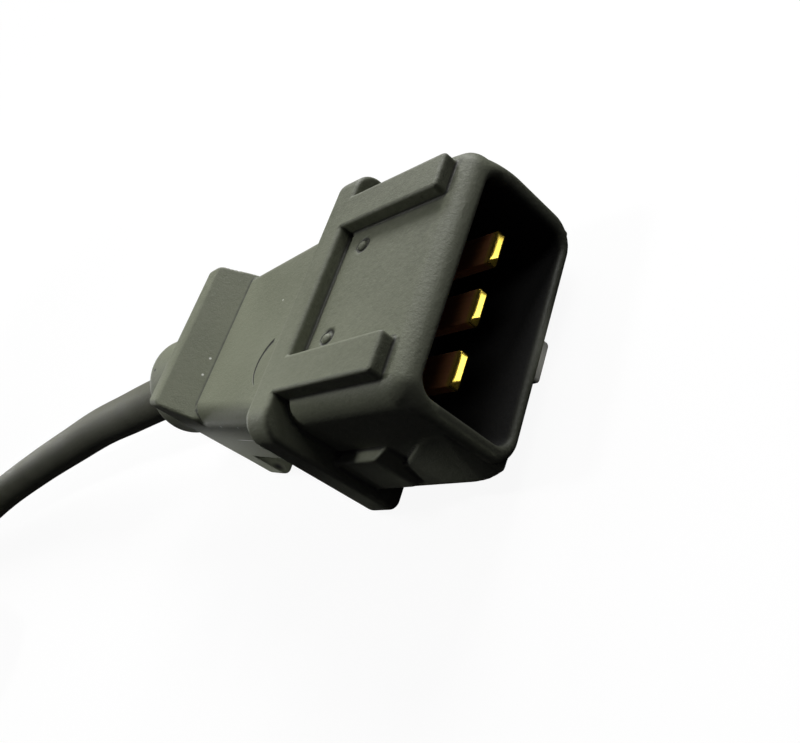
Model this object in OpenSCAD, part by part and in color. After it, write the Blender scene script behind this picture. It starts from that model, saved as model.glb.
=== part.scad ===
// Crankshaft position sensor: an inductive sensor head with a mounting ear, a screened cable
// wound into a tied coil, and a moulded three-blade connector.
// Millimetres, +Z up. The origin is where the sensor's nose axis meets its flat back face, nose up.
// The connector lies level with its mating axis along X, mouth towards +X and wide face up.

/* [Sensor head] */
// Radius of the nose that enters the bore in the engine block
nose_r = 8.9; // [8.4:0.1:9.4]
// Length of the nose past the ear's seating face
nose_len = 24; // [22:0.5:36]
// Radius of the back of the body
base_r = 9.6; // [9.2:0.1:10.4]
// Height of the back of the body below the ear
base_h = 12.6; // [12.4:0.2:18]
// Thickness of the mounting ear
ear_t = 8; // [6:0.5:12]
// Distance from the nose axis to the mounting hole
ear_pitch = 21; // [20:0.5:30]
// Radius of the ear's end
ear_end_r = 7.5; // [6.6:0.1:9]
// Radius of the ear's root round the nose
ear_root_r = 10.2; // [9.8:0.1:12]
// Bore radius of the metal bush in the ear
bush_bore_r = 3.3; // [2.6:0.1:3.6]
// Wall of the metal bush
bush_wall = 1.3; // [0.9:0.1:1.8]
// Section diameter of the O-ring
oring_d = 2; // [1.6:0.1:2.4]
// Depth of the O-ring groove
groove_depth = 1.5; // [1.1:0.1:1.6]
// Distance from the seating face to the O-ring groove
groove_gap = 1.6; // [1:0.1:3]
// Radius of the cavity that takes the coil cartridge
cavity_r = 6.2; // [5.9:0.1:6.4]
// Wall between the cavity and the nose tip
tip_wall = 1.8; // [1.2:0.1:3]
// Height of the cable axis above the back face
snout_h = 7; // [6.4:0.1:7.2]
// Radius of the snout that holds the cable
snout_r = 5; // [4.6:0.1:5.2]
// Reach of the snout from the nose axis
snout_reach = 14; // [13:0.5:15]
// Length of the rubber boot on the snout
boot_len = 6; // [4:0.5:8]

/* [Coil cartridge] */
// Radius of the iron pole piece
pole_r = 2.5; // [2:0.1:2.8]
// Radius of the magnet
magnet_r = 4; // [3.6:0.1:4.2]
// Length of the magnet
magnet_len = 8; // [6:0.5:9]
// Thickness of the bobbin's flanges
bobbin_flange_t = 1.2; // [0.8:0.1:1.6]
// Wall of the bobbin's hub and of its magnet sleeve
bobbin_wall = 0.7; // [0.5:0.05:0.8]
// Room left between the winding and the flanges' edge
winding_gap = 0.5; // [0.3:0.1:1]
// Length of the bobbin over both flanges
bobbin_len = 15.2; // [14.4:0.2:16]
// Side of the square lead-out pins
pin_w = 0.6; // [0.5:0.05:0.7]

/* [Cable] */
// Outside diameter of the cable
cable_d = 4.6; // [4.4:0.1:4.8]
// Diameter of one insulated core
core_d = 1.5; // [1.2:0.1:1.6]
// Radius of the coil at the middle of its turns
coil_r = 23.4; // [22:0.2:25]
// Thickness of the cable tie
tie_t = 0.8; // [0.6:0.1:0.9]
// Width of the cable tie
tie_w = 4; // [3:0.5:6]

/* [Connector] */
// Distance between blades
blade_pitch = 5; // [4.8:0.1:5.2]
// Width of a blade
blade_w = 2.8; // [2.4:0.1:3]
// Thickness of a blade
blade_t = 0.8; // [0.6:0.1:0.9]
// Recess of the blade tips behind the mouth
blade_recess = 1.2; // [0.6:0.1:3]
// Outside width of the shroud
shroud_w = 20.1; // [19.8:0.1:20.6]
// Height of the shroud's wide face above the blades
shroud_up = 5.5; // [5.2:0.1:5.8]
// Depth of the shroud's key face below the blades
shroud_down = 5.45; // [5.3:0.05:5.5]
// Length of the shroud in front of the flange
shroud_len = 12.2; // [11.6:0.1:14]
// Depth of the socket
socket_depth = 11; // [9:0.1:12]
// Wall of the shroud's ends
wall_end = 1.25; // [1:0.05:1.35]
// Wall under the wide face
wall_wide = 1.75; // [1.4:0.05:1.85]
// Wall on the key face
wall_key = 0.75; // [0.65:0.05:0.8]
// Corner radius of the shroud
shroud_corner = 1.8; // [1.5:0.1:2.2]
// Width of the flange
flange_w = 23.6; // [22.8:0.1:25]
// Thickness of the flange
flange_t = 2.6; // [2:0.1:3.4]
// Height of the rails on the wide face
rail_h = 1.15; // [0.6:0.05:1.6]
// Width of a rail
rail_w = 3.05; // [2:0.05:3.4]
// Outside distance across the two rails
rail_span = 17.6; // [16.6:0.1:18]
// Setback of the rails from the mouth
rail_setback = 1.7; // [0.6:0.1:3]
// Length of the neck behind the flange
neck_len = 14.2; // [14:0.1:17]
// Half thickness of the neck
neck_half = 4.3; // [3.8:0.1:4.8]
// Width of the neck where it meets the flange
neck_front_w = 18.6; // [18:0.1:19.6]
// Width of the neck's rear end and of the rear plate
neck_rear_w = 15; // [14.4:0.1:15.6]
// Thickness of the rear plate's rim
rear_rim_t = 2.3; // [1.6:0.1:3.6]
// Run of the slope from the neck up to the rear plate's rim
rear_slope = 1.15; // [0.6:0.05:2]
// Radius of the round collar behind the rear plate
collar_r = 4.8; // [4.4:0.1:5.2]
// Length of the collar
collar_len = 10.3; // [8:0.1:12]

/* [Fits] */
// Clearance between pieces that are moulded round or pushed into each other
fit = 0.05; // [0.03:0.01:0.08]

/* [Hidden] */
$fn = 64;
// Overlap that makes cuts and unions clean
eps = 0.1;
seat_z = base_h + ear_t;
tip_z = seat_z + nose_len;
cavity_top = tip_z - tip_wall;
cable_r = cable_d / 2;
core_r = core_d / 2;
// Where the connector's blade plane meets its mouth
conn = [98.5, 29.5, 7];
flange_front = -shroud_len;
flange_rear = flange_front - flange_t;
neck_rear = flange_rear - neck_len;
rear_face = neck_rear - rear_slope - rear_rim_t;
collar_end = rear_face - collar_len;
rail_top = shroud_up + rail_h;
// Corner radii of the flange, the neck, the rear plate and the collar's end
flange_corner = 1.6;
neck_corner = 1.1;
rear_corner = 0.5;
collar_round = 1.3;
// The cable's sheath ends in the rear plate, and in the snout a little short of the cavity
sheath_grip = 2.5;
snout_wall = 1.4;
sheath_in_conn = rear_face + sheath_grip;
sheath_in_snout = -(cavity_r + snout_wall);
// Each terminal's crimp, and the core's bend from the crimp to the sheath
terminal_anchor = 3;
terminal_rear = flange_rear - terminal_anchor;
crimp_len = 6;
crimp_wall = 0.55;
crimp_r = core_r + crimp_wall;
core_stop = 2;
core_straight = 0.6;
core_gather = 1;
core_spread = core_d + fit;
// The cartridge's place in the cavity
bobbin_low = cavity_top - bobbin_len;
pin_ring = cavity_r - pin_w;
pin_drop = 1;
pin_foot = snout_h - pin_drop;
sensor_core_y = 1.2;
sensor_core_x = -(pin_w / 2 + fit + core_r);

// A profile in Y and Z drawn along X from x0 to x1
module along_x(x0, x1) {
  translate([x0, 0, 0]) rotate([90, 0, 90]) linear_extrude(x1 - x0) children();
}

// A profile in X and Z drawn along Y from y0 to y1
module along_y(y0, y1) {
  translate([0, y1, 0]) rotate([90, 0, 0]) linear_extrude(y1 - y0) children();
}

// A rectangle from corner a to corner b with rounded corners
module rounded_rect(a, b, r) {
  translate([a.x + r, a.y]) square([b.x - a.x - 2 * r, b.y - a.y]);
  translate([a.x, a.y + r]) square([b.x - a.x, b.y - a.y - 2 * r]);
  for (x = [a.x + r, b.x - r], y = [a.y + r, b.y - r]) translate([x, y]) circle(r);
}

// A straight round rod from a to b
module rod(a, b, r) {
  v = b - a;
  translate(a) rotate([0, acos(v.z / norm(v)), atan2(v.y, v.x)]) cylinder(r = r, h = norm(v));
}

// A tube of revolution along Z
module ring(r_in, r_out, z0, z1) {
  translate([0, 0, z0]) difference() {
    cylinder(r = r_out, h = z1 - z0);
    translate([0, 0, -eps]) cylinder(r = r_in, h = z1 - z0 + 2 * eps);
  }
}

function unit(v) = v / norm(v);
// Direction of a route at point i, from its neighbours
function heading(p, i) = unit(p[min(i + 1, len(p) - 1)] - p[max(i - 1, 0)]);
function side_of(t) = unit(cross(t, [0, 0, 1]));
function cord_ring(c, t, r, sides) = [
  for (k = [0:sides - 1])
    let (a = 360 * k / sides, s = side_of(t)) c + r * (cos(a) * s + sin(a) * cross(s, t))
];

// A round cord along a route of points, with flat ends
module cord(route, r, first, last, sides = 12) {
  n = len(route);
  rings = [
    for (i = [0:n - 1])
      each cord_ring(route[i], i == 0 ? first : i == n - 1 ? last : heading(route, i), r, sides)
  ];
  walls = [
    for (i = [0:n - 2], k = [0:sides - 1])
      let (a = i * sides + k, b = i * sides + (k + 1) % sides) [a, b, b + sides, a + sides]
  ];
  start = [for (k = [sides - 1:-1:0]) k];
  end = [for (k = [0:sides - 1]) (n - 1) * sides + k];
  polyhedron(points = rings, faces = concat(walls, [start, end]), convexity = 8);
}

// The coil: its centre, where it starts and how far it turns, clockwise seen from above,
// and the stretch in which the cable climbs from the lower layer to the upper one, in degrees
coil_at = [-61.5, 15.5];
coil_start = -66;
coil_sweep = 646;
climb_from = 296;
climb_to = 348;
coil_steps = 80;
// Gap between the coil's layers, and the turn left free between lengths of the cable
turn_gap = 0.1;
joint_turn = 0.25;
coil_low = tie_t + turn_gap + cable_r;
layer_step = cable_d + turn_gap;
coil_high = coil_low + layer_step;
function ease(u) = let (v = min(max(u, 0), 1)) v * v * (3 - 2 * v);
function coil_point(t) = [
  coil_at.x + coil_r * cos(coil_start - t),
  coil_at.y + coil_r * sin(coil_start - t),
  coil_low + layer_step * ease((t - climb_from) / (climb_to - climb_from))
];
function coil_way(t) = [sin(coil_start - t), -cos(coil_start - t), 0];

// Route of the cable from inside the connector down to the coil, chosen by hand
lead_route = [
  [conn.x + sheath_in_conn, conn.y, conn.z], [conn.x + collar_end, conn.y, conn.z],
  [48.4, 28.9, 6.9], [41.7, 28.3, 6.6], [34.7, 27.7, 6.3], [26.4, 26.4, 5.8],
  [13.5, 24, 5.1], [0.8, 20.6, 4.5], [-12, 15.4, 3.6], [-24, 9, 2.9], [-36.5, 1.6, 2.6],
  [-45, -2.9, 2.9], coil_point(0)
];
// Route of the cable from the coil's upper turn into the snout of the sensor head, chosen by hand
tail_route = [
  coil_point(coil_sweep), [-37.2, 13.5, 7.9], [-35, 8.6, 7.9], [-31.5, 4.4, 7.7], [-27.2, 1.5, 7.4],
  [-22.5, 0.1, 7], [-snout_reach - boot_len, 0, snout_h], [sheath_in_snout, 0, snout_h]
];

// One end of the connector's shroud: a lead-in ramp and the stop for the plug's spring clip
latch_lead = 0.7;
latch_rise = 0.55;
latch_ramp = 2.5;
latch_run = 9.4;
latch_high = 0.4;
latch_low_edge = 0.8;
stop_rise = 0.95;
stop_run = 3.9;
stop_high = -0.2;
module latch_end() {
  y = shroud_w / 2;
  low = -shroud_down + shroud_corner / 3;
  difference() {
    translate([0, 0, low]) linear_extrude(latch_high - low) polygon([
      [-latch_lead, y - wall_end / 2], [-latch_lead, y], [-latch_ramp, y + latch_rise],
      [-latch_run, y + latch_rise], [-latch_run, y - wall_end / 2]
    ]);
    along_y(y - wall_end, y + 2 * latch_rise) polygon([
      [-latch_ramp, latch_high], [-latch_run - eps, low + latch_low_edge],
      [-latch_run - eps, latch_high + eps], [-latch_ramp, latch_high + eps]
    ]);
  }
  translate([0, 0, low]) linear_extrude(stop_high - low) polygon([
    [flange_front - eps, y - wall_end / 2], [flange_front - eps, y + stop_rise],
    [flange_front + stop_run, y + stop_rise], [flange_front + stop_run + stop_rise, y],
    [flange_front + stop_run + stop_rise, y - wall_end / 2]
  ]);
}

// Outside of the connector: shroud with rails, latch ends and key, flange, neck, rear plate, collar
rail_front_slope = 0.3;
key_w = 3.4;
key_h = 1.5;
key_offset = -0.5;
key_setback = 1.1;
key_len = 4;
module connector_shell() {
  y = shroud_w / 2;
  along_x(flange_front - eps, 0) rounded_rect([-y, -shroud_down], [y, shroud_up], shroud_corner);
  for (s = [0, 1]) mirror([0, s, 0]) {
    latch_end();
    along_y(rail_span / 2 - rail_w, rail_span / 2) polygon([
      [flange_front - eps, shroud_up - wall_wide / 2], [flange_front - eps, rail_top],
      [-rail_setback - rail_front_slope, rail_top], [-rail_setback, shroud_up],
      [-rail_setback, shroud_up - wall_wide / 2]
    ]);
  }
  translate([-key_setback - key_len, key_offset - key_w / 2, -shroud_down - key_h])
    cube([key_len, key_w, key_h + wall_key / 2]);
  along_x(flange_rear, flange_front)
    rounded_rect([-flange_w / 2, -conn.z], [flange_w / 2, rail_top], flange_corner);
  hull() {
    along_x(flange_rear - eps, flange_rear) rounded_rect(
      [-neck_front_w / 2, -neck_half], [neck_front_w / 2, neck_half], neck_corner, $fn = 32
    );
    along_x(neck_rear - eps, neck_rear) rounded_rect(
      [-neck_rear_w / 2, -neck_half], [neck_rear_w / 2, neck_half], neck_corner, $fn = 32
    );
  }
  intersection() {
    along_y(-neck_rear_w / 2, neck_rear_w / 2) polygon([
      [neck_rear, neck_half], [neck_rear - rear_slope, conn.z], [rear_face, conn.z],
      [rear_face, -conn.z], [neck_rear - rear_slope, -conn.z], [neck_rear, -neck_half]
    ]);
    along_x(rear_face, neck_rear)
      rounded_rect([-neck_rear_w / 2, -conn.z], [neck_rear_w / 2, conn.z], rear_corner);
  }
  translate([rear_face, 0, 0]) rotate([0, -90, 0]) rotate_extrude() {
    square([collar_r, collar_len - collar_round]);
    square([collar_r - collar_round, collar_len]);
    translate([collar_r - collar_round, collar_len - collar_round]) intersection() {
      circle(collar_round);
      square(collar_round);
    }
  }
}

// The middle line of core k: out of its crimp, across, and level into the sheath's end
function core_from(k) = [terminal_rear - core_stop, k * blade_pitch, 0];
function core_bend(k) = [terminal_rear - crimp_len - core_straight, k * blade_pitch, 0];
function core_meet(k) = [sheath_in_conn + core_gather, k * core_spread, 0];
function core_to(k) = [sheath_in_conn + fit, k * core_spread, 0];

// Flat room in which the three cores come together behind their crimps
core_room_ease = 0.5;
module core_room() {
  r = core_r + fit;
  wide = blade_pitch + r;
  narrow = core_spread + r + 2 * fit;
  front = terminal_rear - crimp_len;
  bend = core_bend(0).x - core_room_ease;
  meet = core_meet(0).x - core_room_ease;
  translate([0, 0, -r]) linear_extrude(2 * r) polygon([
    [front, wide], [bend, wide], [meet, narrow], [sheath_in_conn, narrow],
    [sheath_in_conn, -narrow], [meet, -narrow], [bend, -wide], [front, -wide]
  ]);
}

// Two ejector marks on the wide face
mark_r = 0.55;
mark_depth = 0.15;
mark_setback = 2.3;
mark_y = 4.05;
module connector_housing() {
  yi = shroud_w / 2 - wall_end;
  color([0.13, 0.13, 0.11]) translate(conn) difference() {
    connector_shell();
    along_x(-socket_depth, eps) rounded_rect(
      [-yi, -shroud_down + wall_key], [yi, shroud_up - wall_wide], shroud_corner - wall_end / 2
    );
    for (k = [-1:1]) {
      translate([terminal_rear, k * blade_pitch - blade_w / 2 - fit, -blade_t / 2 - fit])
        cube([shroud_len, blade_w + 2 * fit, blade_t + 2 * fit]);
      rod([terminal_rear + fit, k * blade_pitch, 0], core_bend(k), crimp_r + fit);
    }
    core_room();
    rod([sheath_in_conn, 0, 0], [collar_end - eps, 0, 0], cable_r + fit);
    for (s = [-1, 1]) translate([flange_front + mark_setback, s * mark_y, shroud_up - mark_depth])
      cylinder(r = mark_r, h = mark_depth + eps);
  }
}

// A flat blade with a bevelled tip, and the round crimp that grips its core
tip_bevel = 1;
tip_narrow = 0.4;
module terminal(k) {
  tip = -blade_recess;
  w = blade_w / 2;
  color([0.83, 0.66, 0.25]) translate(conn) translate([0, k * blade_pitch, 0]) difference() {
    union() {
      intersection() {
        translate([0, 0, -blade_t]) linear_extrude(2 * blade_t) polygon([
          [terminal_rear, -w], [tip - tip_bevel, -w], [tip, -w + tip_narrow],
          [tip, w - tip_narrow], [tip - tip_bevel, w], [terminal_rear, w]
        ]);
        along_y(-blade_w, blade_w) polygon([
          [terminal_rear - eps, -blade_t / 2], [tip - tip_bevel, -blade_t / 2], [tip, -blade_t / 6],
          [tip, blade_t / 6], [tip - tip_bevel, blade_t / 2], [terminal_rear - eps, blade_t / 2]
        ]);
      }
      rod([terminal_rear, 0, 0], [terminal_rear - crimp_len, 0, 0], crimp_r);
    }
    rod([terminal_rear - core_stop, 0, 0], [terminal_rear - crimp_len - eps, 0, 0], core_r + fit);
  }
}

module terminal_1() { terminal(1); }
module terminal_2() { terminal(0); }
module terminal_3() { terminal(-1); }

module connector_core(k, shade) {
  color(shade) translate(conn)
    cord([core_from(k), core_bend(k), core_meet(k), core_to(k)], core_r, [-1, 0, 0], [-1, 0, 0]);
}

module core_1() { connector_core(1, "white"); }
module core_2() { connector_core(0, "brown"); }
module screen_drain() { connector_core(-1, "silver"); }

module cable_lead() {
  color([0.16, 0.16, 0.13]) cord(lead_route, cable_r, [-1, 0, 0], coil_way(0));
}

module cable_tail() {
  color([0.16, 0.16, 0.13]) cord(tail_route, cable_r, coil_way(coil_sweep), [1, 0, 0]);
}

// Two layers of turns, one on the other
module cable_coil() {
  first = joint_turn;
  last = coil_sweep - joint_turn;
  route = [for (i = [0:coil_steps]) coil_point(first + (last - first) * i / coil_steps)];
  color([0.16, 0.16, 0.13]) cord(route, cable_r, coil_way(first), coil_way(last));
}

// Strap round both layers, with its locking head and the end of the strap on top
tie_room = 0.15;
tie_corner = 1.2;
tie_head = [4.4, 1, 3.2];
tie_head_x = -1.2;
tie_end_x = 0.4;
tie_end_h = 5;
module coil_tie() {
  room = cable_r + tie_room;
  out = room + tie_t;
  low = coil_low - cable_r - turn_gap / 2;
  high = coil_high + cable_r + turn_gap / 2;
  color([0.1, 0.1, 0.1]) translate([coil_at.x - coil_r, coil_at.y, 0]) difference() {
    union() {
      along_y(-tie_w / 2, tie_w / 2) rounded_rect([-out, low - tie_t], [out, high + tie_t], tie_corner);
      translate([tie_head_x, -(tie_w + tie_head.y) / 2, high])
        cube([tie_head.x, tie_w + tie_head.y, tie_head.z]);
      translate([tie_end_x, -(tie_w - tie_head.y) / 2, high])
        cube([tie_t, tie_w - tie_head.y, tie_head.z + tie_end_h]);
    }
    along_y(-tie_w / 2 - tie_head.y, tie_w / 2 + tie_head.y)
      rounded_rect([-room, low], [room, high], tie_corner - tie_t / 2);
  }
}

// Rubber sleeve with a rim and two ribs, which guards the cable where it enters the snout
boot_step = 0.4;
boot_rim = 1.4;
boot_shoulder = 0.6;
boot_tip_wall = 0.9;
boot_rib_t = 0.5;
boot_rib_rise = 0.28;
// Places of the ribs, as shares of the way from the rim to the tip
boot_ribs = [0.2, 0.53];
module sensor_boot() {
  wide = snout_r - boot_step;
  root = wide - boot_shoulder;
  tip = cable_r + boot_tip_wall;
  color([0.09, 0.09, 0.09]) translate([-snout_reach, 0, snout_h]) rotate([0, -90, 0])
    rotate_extrude() difference() {
      union() {
        polygon([[0, 0], [wide, 0], [wide, boot_rim], [root, boot_rim], [tip, boot_len], [0, boot_len]]);
        for (u = boot_ribs) translate([0, boot_rim + u * (boot_len - boot_rim)])
          square([root + u * (tip - root) + boot_rib_rise, boot_rib_t]);
      }
      translate([0, -eps]) square([cable_r + fit, boot_len + 2 * eps]);
    }
}

// Outline of the mounting ear: two rounds and the straight sides that touch both
module ear_outline() {
  lean = asin((ear_root_r - ear_end_r) / ear_pitch);
  t = [sin(lean), cos(lean)];
  circle(ear_root_r);
  translate([ear_pitch, 0]) circle(ear_end_r);
  polygon([
    ear_root_r * t, [ear_pitch, 0] + ear_end_r * t,
    [ear_pitch + ear_end_r * t.x, -ear_end_r * t.y], [ear_root_r * t.x, -ear_root_r * t.y]
  ]);
}

base_bevel = 0.8;
tip_edge = 1;
groove_ease = 0.6;
groove_w = oring_d + groove_ease;
// Rib under the snout
rib_w = 2;
rib_setback = 3;
module sensor_body() {
  color([0.12, 0.12, 0.12]) difference() {
    union() {
      rotate_extrude() polygon([
        [0, 0], [base_r - base_bevel, 0], [base_r, base_bevel], [base_r, seat_z - ear_t / 2],
        [nose_r, seat_z - ear_t / 2], [nose_r, tip_z - tip_edge], [nose_r - tip_edge, tip_z], [0, tip_z]
      ]);
      translate([0, 0, base_h]) linear_extrude(ear_t) ear_outline();
      rod([0, 0, snout_h], [-snout_reach, 0, snout_h], snout_r);
      translate([-snout_reach + rib_setback, -rib_w / 2, 0])
        cube([snout_reach - rib_setback - base_bevel, rib_w, snout_h]);
    }
    translate([0, 0, -eps]) cylinder(r = cavity_r, h = cavity_top + eps);
    cylinder(r = pole_r + fit, h = tip_z + eps);
    translate([0, 0, seat_z + groove_gap]) difference() {
      cylinder(r = nose_r + eps, h = groove_w);
      translate([0, 0, -eps]) cylinder(r = nose_r - groove_depth, h = groove_w + 2 * eps);
    }
    translate([ear_pitch, 0, base_h - eps])
      cylinder(r = bush_bore_r + bush_wall + fit, h = ear_t + 2 * eps);
    rod([sheath_in_snout, 0, snout_h], [-snout_reach - eps, 0, snout_h], cable_r + fit);
    for (s = [-1, 1]) rod(
      [0, s * sensor_core_y, snout_h], [sheath_in_snout - eps, s * sensor_core_y, snout_h], core_r + fit
    );
  }
}

module mounting_bush() {
  color("silver") translate([ear_pitch, 0, 0])
    ring(bush_bore_r, bush_bore_r + bush_wall, base_h, seat_z);
}

module o_ring() {
  color([0.05, 0.05, 0.05]) translate([0, 0, seat_z + groove_gap + groove_w / 2]) rotate_extrude()
    translate([nose_r - groove_depth + fit + oring_d / 2, 0]) circle(oring_d / 2);
}

module pole_piece() {
  color("gray") translate([0, 0, bobbin_low]) cylinder(r = pole_r, h = tip_z - bobbin_low);
}

module magnet() {
  color("dimgray") translate([0, 0, bobbin_low - magnet_len]) cylinder(r = magnet_r, h = magnet_len);
}

// Spool for the winding, with a sleeve below that holds the magnet
module bobbin() {
  hub = pole_r + fit + bobbin_wall;
  color("ivory") difference() {
    union() {
      translate([0, 0, bobbin_low]) cylinder(r = hub, h = cavity_top - bobbin_low);
      for (z = [bobbin_low, cavity_top - bobbin_flange_t])
        translate([0, 0, z]) cylinder(r = cavity_r - fit, h = bobbin_flange_t);
      translate([0, 0, bobbin_low - magnet_len])
        cylinder(r = magnet_r + fit + bobbin_wall, h = magnet_len + eps);
    }
    translate([0, 0, bobbin_low - eps]) cylinder(r = pole_r + fit, h = cavity_top);
    translate([0, 0, bobbin_low - magnet_len - eps]) cylinder(r = magnet_r + fit, h = magnet_len + eps);
    for (s = [-1, 1]) lead_pin(s, fit);
  }
}

module winding() {
  color([0.72, 0.38, 0.2]) ring(
    pole_r + 2 * fit + bobbin_wall, cavity_r - winding_gap,
    bobbin_low + bobbin_flange_t, cavity_top - bobbin_flange_t
  );
}

// A square pin from the bobbin's lower flange down to the cable's core, or the room for it
module lead_pin(s, spare) {
  w = pin_w + 2 * spare;
  translate([-w / 2, s * pin_ring - w / 2, pin_foot - spare])
    cube([w, w, bobbin_low + bobbin_flange_t / 2 - pin_foot + 2 * spare]);
}

module lead_pin_1() { color("silver") lead_pin(1, 0); }
module lead_pin_2() { color("silver") lead_pin(-1, 0); }

// A core from the cable's sheath to the side of the pin that it is soldered to, or the room for it
module sensor_core(s, r, spare) {
  turn = [sensor_core_x, s * sensor_core_y, snout_h];
  rod([sheath_in_snout + fit - spare, s * sensor_core_y, snout_h], turn, r + spare);
  translate(turn) sphere(r + spare);
  rod(turn, [sensor_core_x, s * (pin_ring + spare), snout_h], r + spare);
}

module sensor_core_1() { color("white") sensor_core(1, core_r, 0); }
module sensor_core_2() { color("brown") sensor_core(-1, core_r, 0); }

// Resin that closes the back of the body round the pins and the cores
module potting() {
  color([0.2, 0.2, 0.2]) difference() {
    cylinder(r = cavity_r - fit, h = bobbin_low - magnet_len - fit);
    for (s = [-1, 1]) {
      lead_pin(s, fit);
      sensor_core(s, core_r, fit);
    }
  }
}

connector_housing();
terminal_1();
terminal_2();
terminal_3();
core_1();
core_2();
screen_drain();
cable_lead();
cable_coil();
coil_tie();
cable_tail();
sensor_boot();
sensor_body();
mounting_bush();
o_ring();
pole_piece();
magnet();
bobbin();
winding();
lead_pin_1();
lead_pin_2();
sensor_core_1();
sensor_core_2();
potting();
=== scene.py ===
import bpy
import numpy as np
from mathutils import Matrix, Vector


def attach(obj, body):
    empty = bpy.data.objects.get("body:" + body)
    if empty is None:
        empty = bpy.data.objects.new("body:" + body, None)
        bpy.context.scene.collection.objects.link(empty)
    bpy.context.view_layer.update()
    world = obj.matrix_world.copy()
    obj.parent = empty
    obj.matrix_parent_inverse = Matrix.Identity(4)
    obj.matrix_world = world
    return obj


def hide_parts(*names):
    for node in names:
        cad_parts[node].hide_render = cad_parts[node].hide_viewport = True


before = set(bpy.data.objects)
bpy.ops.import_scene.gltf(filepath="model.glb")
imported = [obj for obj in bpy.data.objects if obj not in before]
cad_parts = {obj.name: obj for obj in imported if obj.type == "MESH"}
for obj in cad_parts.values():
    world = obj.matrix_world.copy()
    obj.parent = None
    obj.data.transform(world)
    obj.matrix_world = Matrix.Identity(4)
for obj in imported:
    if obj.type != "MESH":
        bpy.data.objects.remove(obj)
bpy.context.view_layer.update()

# Camera
# It stands close to the connector, looks into its mouth and down on its wide face,
# and is rolled to the left, as the photograph was taken.
photo_width_px = 800
focal_px = 876.8
sensor_mm = 36.0
camera_place = (0.136944, -0.001279, 0.039558)
view_right = Vector((0.65631, 0.29230, -0.69557)).normalized()
view_up = Vector((0.14513, 0.85578, 0.49657)).normalized()
view_back = view_right.cross(view_up).normalized()
camera_data = bpy.data.cameras.new("photo_camera")
camera_data.sensor_fit = "HORIZONTAL"
camera_data.sensor_width = sensor_mm
camera_data.lens = sensor_mm * focal_px / photo_width_px
camera_data.clip_start = 0.002
camera_data.clip_end = 20.0
camera = bpy.data.objects.new("photo_camera", camera_data)
turn = Matrix((view_right, view_back.cross(view_right), view_back)).transposed()
camera.matrix_world = Matrix.Translation(camera_place) @ turn.to_4x4()
bpy.context.scene.collection.objects.link(camera)
bpy.context.scene.camera = camera

# Cable
# A screened two-core cable in a soft grey-green rubber sheath, about 0.41 m long between the connector's
# collar and the sensor head's snout, which its ends are moulded into. The spare length is wound into
# one tied coil of two layers. The route's points and the coil's sizes are in millimetres.
mm = 0.001
cable_radius = 0.0023
cable_sides = 28
ring_spacing = 1.2
lead_points = np.array([
    (68.25, 29.5, 7), (55.75, 29.5, 7), (48.4, 28.9, 6.9), (41.7, 28.3, 6.6), (34.7, 27.7, 6.3),
    (26.4, 26.4, 5.8), (13.5, 24, 5.1), (0.8, 20.6, 4.5), (-12, 15.4, 3.6), (-24, 9, 2.9),
    (-36.5, 1.6, 2.6), (-45, -2.9, 2.9)])
tail_points = np.array([
    (-37.2, 13.5, 7.9), (-35, 8.6, 7.9), (-31.5, 4.4, 7.7), (-27.2, 1.5, 7.4), (-22.5, 0.1, 7),
    (-20, 0, 7), (-14, 0, 7), (-7.6, 0, 7)])
coil_centre = (-61.5, 15.5)
coil_radius = 23.4
coil_start_deg = -66.0
coil_sweep_deg = 646
coil_point_count = 54
climb_from_deg = 296.0
climb_sweep_deg = 52.0
lower_layer_z = 3.2
layer_rise = 4.7


def coil_points(turned_deg):
    """Circle round the coil's centre, clockwise seen from above; within the climb's sweep the height eases
    from the lower layer to the upper one, a cable's thickness and 0.1 mm higher."""
    rise = np.clip((turned_deg - climb_from_deg) / climb_sweep_deg, 0, 1)
    rise = rise * rise * (3 - 2 * rise)
    angle = np.radians(coil_start_deg - turned_deg)
    return np.stack([coil_centre[0] + coil_radius * np.cos(angle),
                     coil_centre[1] + coil_radius * np.sin(angle),
                     lower_layer_z + layer_rise * rise], 1)


def smooth_route(points, spacing, fine_count=4000):
    """Cubic through the points, with each point's slope taken from its two neighbours by distance,
    worked out at many fine places and then sampled at an even spacing along its length."""
    gap = np.linalg.norm(np.diff(points, axis=0), axis=1)
    along = np.concatenate([[0], np.cumsum(gap)])
    slope = np.gradient(points, along, axis=0)
    s = np.linspace(0, along[-1], fine_count)
    i = np.clip(np.searchsorted(along, s, side="right") - 1, 0, len(gap) - 1)
    h = gap[i][:, None]
    u = ((s - along[i]) / gap[i])[:, None]
    dense = ((2 * u**3 - 3 * u**2 + 1) * points[i] + (u**3 - 2 * u**2 + u) * h * slope[i]
             + (3 * u**2 - 2 * u**3) * points[i + 1] + (u**3 - u**2) * h * slope[i + 1])
    length = np.concatenate([[0], np.cumsum(np.linalg.norm(np.diff(dense, axis=0), axis=1))])
    even = np.linspace(0, length[-1], int(length[-1] / spacing) + 1)
    return np.stack([np.interp(even, length, dense[:, k]) for k in range(3)], 1)


def new_piece(name, vertices, faces, smooth=True):
    """Mesh object at the origin, from an array of vertices in metres and lists of each face's vertices."""
    mesh = bpy.data.meshes.new(name)
    mesh.from_pydata(vertices.tolist(), [], faces)
    mesh.polygons.foreach_set("use_smooth", np.full(len(mesh.polygons), smooth))
    mesh.update()
    piece = bpy.data.objects.new(name, mesh)
    bpy.context.scene.collection.objects.link(piece)
    return piece


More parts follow.
